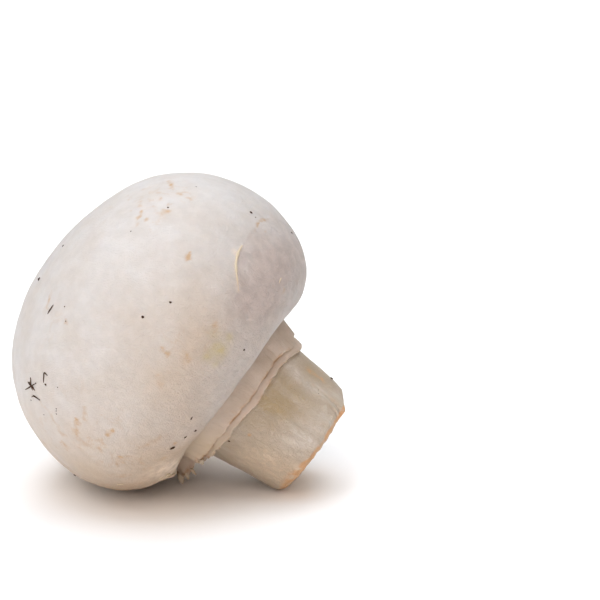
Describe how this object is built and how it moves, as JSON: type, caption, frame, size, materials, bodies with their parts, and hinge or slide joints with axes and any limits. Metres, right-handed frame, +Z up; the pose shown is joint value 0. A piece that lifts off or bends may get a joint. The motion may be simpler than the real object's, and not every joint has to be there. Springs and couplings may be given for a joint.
{
  "type": "button mushroom",
  "caption": "Picked white button mushroom with a rounded closed cap, a torn veil and a short trimmed stem, lying on its side.",
  "frame": {"origin": "on the table that it lies on, under the middle of its bounding box", "axes": "+X points to the side that the cut end of the stem is on, +Y away from the broad view, +Z up from the table"},
  "size_m": [0.0498, 0.0494, 0.047],
  "materials": {
    "cap_skin": "dull, slightly silky off-white skin with tan scuffs and a few specks of soil",
    "veil": "dull cream, soft and fibrous, browned along the torn edges",
    "stem_flesh": "silky cream with fine lengthwise fibres, ochre at the cut end",
    "soil": "dull dark brown crumbs"
  },
  "bodies": {
    "root": {"mushroom": "cap_skin"}
  },
  "joints": []
}
